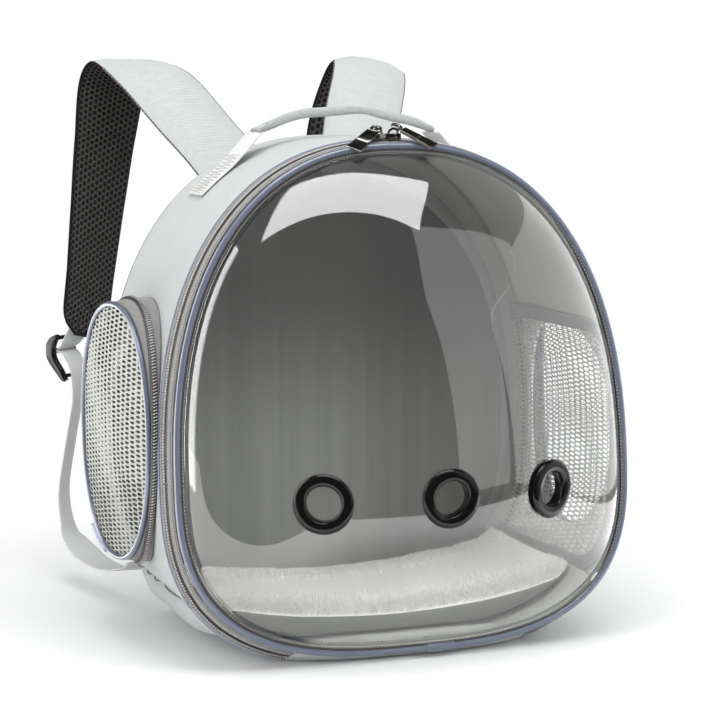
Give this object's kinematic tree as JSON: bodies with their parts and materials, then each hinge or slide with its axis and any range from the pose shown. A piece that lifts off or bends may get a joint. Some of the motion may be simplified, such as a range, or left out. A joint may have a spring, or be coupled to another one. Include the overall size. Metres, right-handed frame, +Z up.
{
  "type": "pet carrier backpack",
  "caption": "Soft-sided pet carrier backpack with a clear bubble door, air grommets, mesh side pockets, fleece floor mat, carry handle and padded shoulder straps.",
  "frame": {"origin": "on the floor, under the middle of the whole object's box", "axes": "+Z up, the clear door faces -Y, the wearer's back is on the +Y side, +X is to the right of a viewer who faces the door"},
  "size_m": [0.4234, 0.501, 0.4628],
  "materials": {
    "cloth": "light grey twill-woven polyester",
    "lining": "dark grey woven lining",
    "tape": "taupe woven zip tape and gusset",
    "coil": "dark nylon zip coil",
    "piping": "glossy slate-blue piping",
    "clear": "clear moulded plastic",
    "black": "glossy black plastic",
    "gunmetal": "black nickel plated zinc",
    "mesh": "pale open mesh cloth",
    "webbing": "light grey woven webbing",
    "fleece": "white fleece pile",
    "spacer": "charcoal spacer mesh on the straps' inner face"
  },
  "bodies": {
    "root": {"body_wrap": "cloth", "base_panel": "cloth", "door_hinge_strip": "cloth", "handle_grip": "cloth", "strap_left": "cloth", "strap_right": "cloth", "back_panel": "lining", "window_binding_left": "lining", "window_binding_right": "lining", "zip_tape_door": "tape", "zip_tape_body": "tape", "pocket_gusset_left": "tape", "pocket_gusset_right": "tape", "zip_coil": "coil", "pocket_zip_left": "coil", "pocket_zip_right": "coil", "door_piping": "piping", "piping_sleeve": "piping", "pocket_piping_left": "piping", "pocket_piping_right": "piping", "clear_dome": "clear", "grommet_left": "black", "grommet_middle": "black", "grommet_right": "black", "ladder_lock_left": "black", "ladder_lock_right": "black", "zip_left_slider": "gunmetal", "zip_left_pull": "gunmetal", "zip_right_slider": "gunmetal", "zip_right_pull": "gunmetal", "pocket_pull_left": "gunmetal", "pocket_pull_right": "gunmetal", "pocket_mesh_left": "mesh", "pocket_mesh_right": "mesh", "window_mesh_left": "mesh", "window_mesh_right": "mesh", "handle_webbing_left": "webbing", "handle_webbing_right": "webbing", "strap_loop_left": "webbing", "strap_loop_right": "webbing", "strap_webbing_left": "webbing", "strap_webbing_right": "webbing", "fleece_mat": "fleece"}
  },
  "joints": []
}
